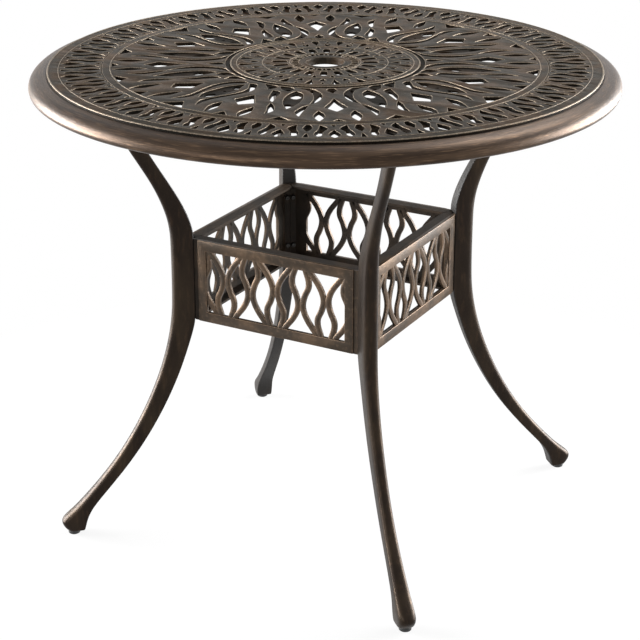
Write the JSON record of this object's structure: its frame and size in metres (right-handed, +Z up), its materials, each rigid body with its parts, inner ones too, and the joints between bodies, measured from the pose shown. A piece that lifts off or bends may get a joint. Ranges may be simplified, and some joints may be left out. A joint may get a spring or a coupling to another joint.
{
  "type": "umbrella table",
  "caption": "Round pierced cast table with a rolled rim, an umbrella hole in a central medallion, four splayed legs, a square grille apron and screw-in levelling glides.",
  "frame": {"origin": "on the floor under the middle of the top", "axes": "+Z up; the legs stand on the diagonals of X and Y, and the apron grilles face -Y, +X, +Y and -X"},
  "size_m": [0.8899, 0.89, 0.745],
  "materials": {
    "bronze_rim": "antique bronze powder coat, satin",
    "bronze_top": "antique bronze powder coat, satin",
    "bronze_leg": "antique bronze powder coat, satin",
    "bronze_apron": "antique bronze powder coat, satin",
    "dark_steel": "blackened",
    "plated_steel": "zinc plated",
    "insert_brass": "turned",
    "black_nylon": "moulded"
  },
  "bodies": {
    "table_frame": {"rim_moulding": "bronze_rim", "top_grille": "bronze_top", "centre_medallion": "bronze_top", "medallion_screws": "dark_steel", "leg_right": "bronze_leg", "leg_back": "bronze_leg", "leg_left": "bronze_leg", "leg_front": "bronze_leg", "foot_inserts": "insert_brass", "apron_front_left": "bronze_apron", "apron_front_right": "bronze_apron", "apron_back_right": "bronze_apron", "apron_back_left": "bronze_apron", "leg_top_bolts": "dark_steel", "apron_screws": "dark_steel"},
    "glide_right_body": {"glide_right": "black_nylon"},
    "stud_right_body": {"stud_right": "plated_steel"},
    "glide_back_body": {"glide_back": "black_nylon"},
    "stud_back_body": {"stud_back": "plated_steel"},
    "glide_left_body": {"glide_left": "black_nylon"},
    "stud_left_body": {"stud_left": "plated_steel"},
    "glide_front_body": {"glide_front": "black_nylon"},
    "stud_front_body": {"stud_front": "plated_steel"}
  },
  "joints": [
    {"name": "level_right", "type": "slide", "parent": "table_frame", "child": "glide_right_body", "axis": [0, 0, -1], "range_m": [0, 0.008]},
    {"name": "screw_right", "type": "hinge", "parent": "glide_right_body", "child": "stud_right_body", "pos_m": [0.29698, 0.29698, 0.01], "axis": [0, 0, 1], "range_deg": [0, 2880]},
    {"name": "level_back", "type": "slide", "parent": "table_frame", "child": "glide_back_body", "axis": [0, 0, -1], "range_m": [0, 0.008]},
    {"name": "screw_back", "type": "hinge", "parent": "glide_back_body", "child": "stud_back_body", "pos_m": [-0.29698, 0.29698, 0.01], "axis": [0, 0, 1], "range_deg": [0, 2880]},
    {"name": "level_left", "type": "slide", "parent": "table_frame", "child": "glide_left_body", "axis": [0, 0, -1], "range_m": [0, 0.008]},
    {"name": "screw_left", "type": "hinge", "parent": "glide_left_body", "child": "stud_left_body", "pos_m": [-0.29698, -0.29698, 0.01], "axis": [0, 0, 1], "range_deg": [0, 2880]},
    {"name": "level_front", "type": "slide", "parent": "table_frame", "child": "glide_front_body", "axis": [0, 0, -1], "range_m": [0, 0.008]},
    {"name": "screw_front", "type": "hinge", "parent": "glide_front_body", "child": "stud_front_body", "pos_m": [0.29698, -0.29698, 0.01], "axis": [0, 0, 1], "range_deg": [0, 2880]}
  ],
  "couplings": [
    {"joint": "screw_right", "follows": "level_right", "rad_per_m": 6283},
    {"joint": "screw_back", "follows": "level_back", "rad_per_m": 6283},
    {"joint": "screw_left", "follows": "level_left", "rad_per_m": 6283},
    {"joint": "screw_front", "follows": "level_front", "rad_per_m": 6283}
  ]
}
